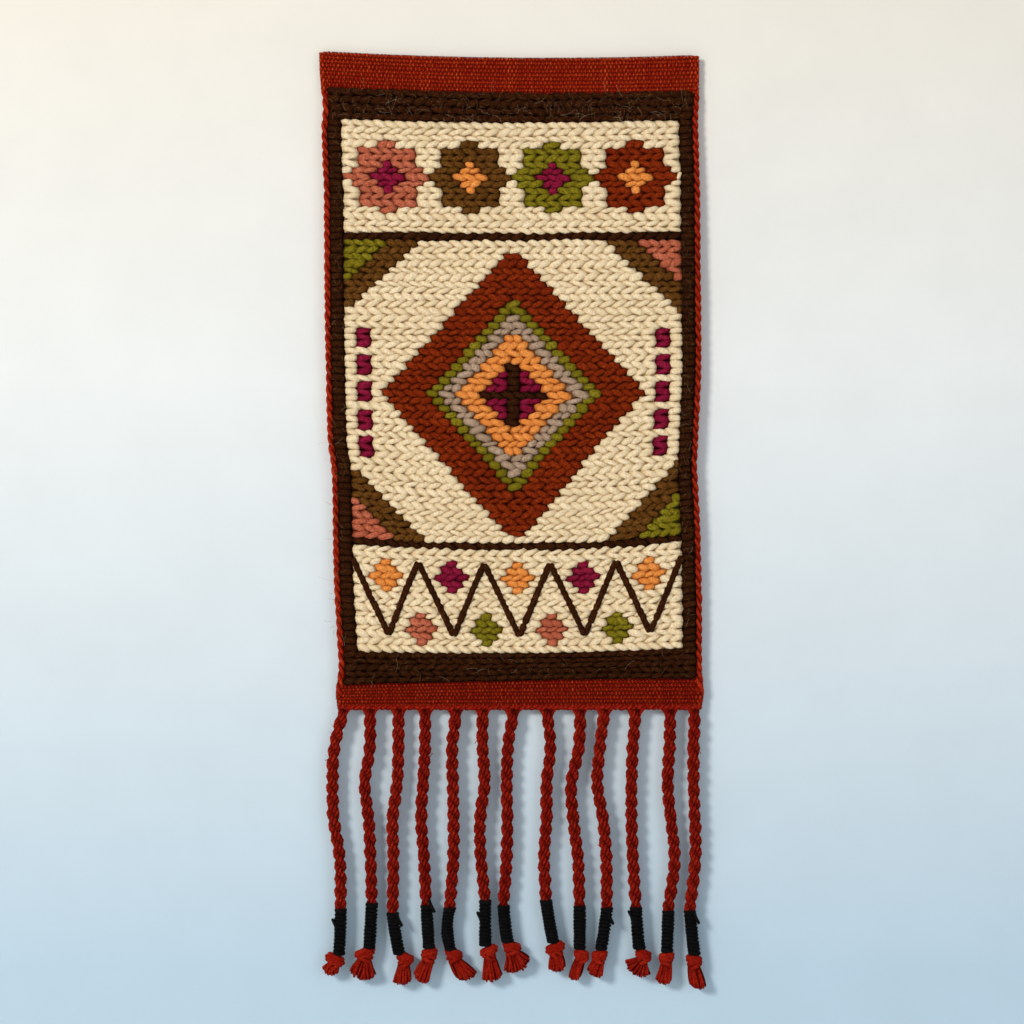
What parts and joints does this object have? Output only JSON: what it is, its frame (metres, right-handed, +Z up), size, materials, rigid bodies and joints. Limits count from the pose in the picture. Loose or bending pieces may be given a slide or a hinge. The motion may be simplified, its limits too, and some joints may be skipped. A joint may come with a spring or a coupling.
{
  "type": "woven wool wall hanging",
  "caption": "Upright cloth hanging worked all over in thick ribbed yarn rows inside a dark border, with a twisted, wrapped and knotted fringe below.",
  "frame": {"origin": "middle of the top edge, on the back of the cloth, where it meets the wall", "axes": "+Z up, +X to the right seen from the front, the front faces -Y and the wall is at +Y"},
  "size_m": [0.3067, 0.0109, 0.739],
  "materials": {
    "ground_wool": "rust plain weave wool",
    "cord_wool": "rust twisted wool",
    "yarn_dark": "dark brown thick wool yarn",
    "yarn_field": "cream thick wool yarn with coloured motifs",
    "wrap_thread": "charcoal wound wool thread"
  },
  "bodies": {
    "root": {"ground_cloth": "ground_wool", "edging_left": "cord_wool", "edging_right": "cord_wool", "frame_top": "yarn_dark", "frame_foot": "yarn_dark", "frame_left": "yarn_dark", "frame_right": "yarn_dark", "yarn_field": "yarn_field", "fringe": "cord_wool", "wrap_01": "wrap_thread", "tuft_01": "cord_wool", "wrap_02": "wrap_thread", "tuft_02": "cord_wool", "wrap_03": "wrap_thread", "tuft_03": "cord_wool", "wrap_04": "wrap_thread", "tuft_04": "cord_wool", "wrap_05": "wrap_thread", "tuft_05": "cord_wool", "wrap_06": "wrap_thread", "tuft_06": "cord_wool", "wrap_07": "wrap_thread", "tuft_07": "cord_wool", "wrap_08": "wrap_thread", "tuft_08": "cord_wool", "wrap_09": "wrap_thread", "tuft_09": "cord_wool", "wrap_10": "wrap_thread", "tuft_10": "cord_wool", "wrap_11": "wrap_thread", "tuft_11": "cord_wool", "wrap_12": "wrap_thread", "tuft_12": "cord_wool", "wrap_13": "wrap_thread", "tuft_13": "cord_wool"}
  },
  "joints": []
}
